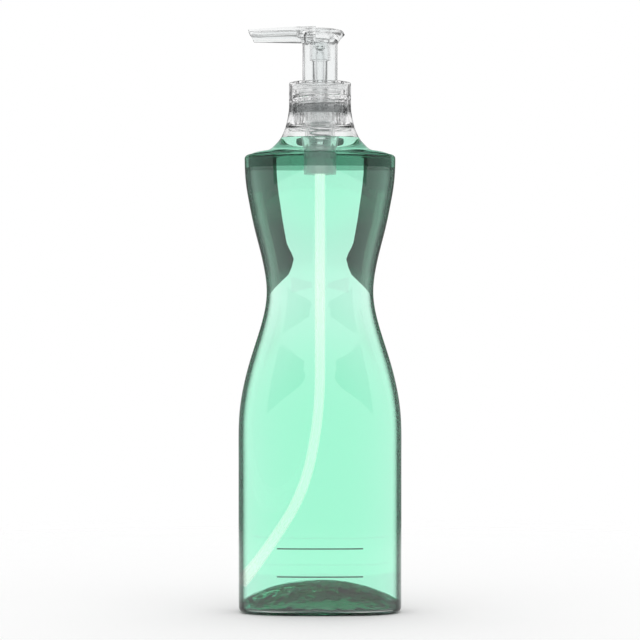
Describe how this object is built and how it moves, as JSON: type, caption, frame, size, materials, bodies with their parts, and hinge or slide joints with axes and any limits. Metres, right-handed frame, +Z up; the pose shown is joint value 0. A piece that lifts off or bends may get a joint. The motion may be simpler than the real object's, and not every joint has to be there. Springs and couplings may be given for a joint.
{
  "type": "dish soap bottle",
  "caption": "Clear hourglass bottle of mint green dish soap with a clear lotion pump: press head, spring, piston, check balls, screw collar and dip tube.",
  "frame": {"origin": "middle of the base on the floor, under the neck's axis", "axes": "+Z up along the neck, -Y the front, -X the way the nozzle points"},
  "size_m": [0.0815, 0.044, 0.2914],
  "materials": {
    "bottle": "clear gloss",
    "dish_soap": "clear mint green liquid",
    "collar": "clear gloss",
    "neck_gasket": "soft milky",
    "pump_housing": "clear satin",
    "stem_guide": "clear satin",
    "pump_head": "clear gloss",
    "stem": "clear gloss",
    "piston": "soft milky",
    "spring": "drawn wire",
    "check_ball": "polished",
    "dip_tube": "milky"
  },
  "bodies": {
    "bottle_body": {"bottle": "bottle", "dish_soap": "dish_soap"},
    "pump_body": {"pump_housing": "pump_housing", "neck_gasket": "neck_gasket", "stem_guide": "stem_guide", "dip_tube": "dip_tube", "spring": "spring"},
    "collar_body": {"collar": "collar"},
    "piston_body": {"piston": "piston"},
    "head_body": {"pump_head": "pump_head", "stem": "stem"},
    "inlet_ball_body": {"inlet_ball": "check_ball"},
    "outlet_ball_body": {"outlet_ball": "check_ball"}
  },
  "joints": [
    {"name": "pump_rise", "type": "slide", "parent": "bottle_body", "child": "pump_body", "axis": [0, 0, 1], "range_m": [0, 0.00635]},
    {"name": "collar_unscrew", "type": "hinge", "parent": "pump_body", "child": "collar_body", "pos_m": [0, 0, 0.252], "axis": [0, 0, 1], "range_deg": [0, 540]},
    {"name": "head_press", "type": "slide", "parent": "pump_body", "child": "piston_body", "axis": [0, 0, -1], "range_m": [0, 0.0115], "stiffness_N_per_m": 900, "springref_m": -0.01, "deforming": ["spring"]},
    {"name": "head_swivel", "type": "hinge", "parent": "piston_body", "child": "head_body", "pos_m": [0, 0, 0.27], "axis": [0, 0, 1], "continuous": true},
    {"name": "inlet_ball_lift", "type": "slide", "parent": "pump_body", "child": "inlet_ball_body", "axis": [0, 0, 1], "range_m": [0, 0.001]},
    {"name": "outlet_ball_lift", "type": "slide", "parent": "head_body", "child": "outlet_ball_body", "axis": [0, 0, 1], "range_m": [0, 0.0008]}
  ],
  "couplings": [
    {"joint": "pump_rise", "follows": "collar_unscrew", "m_per_rad": 0.00067323}
  ]
}
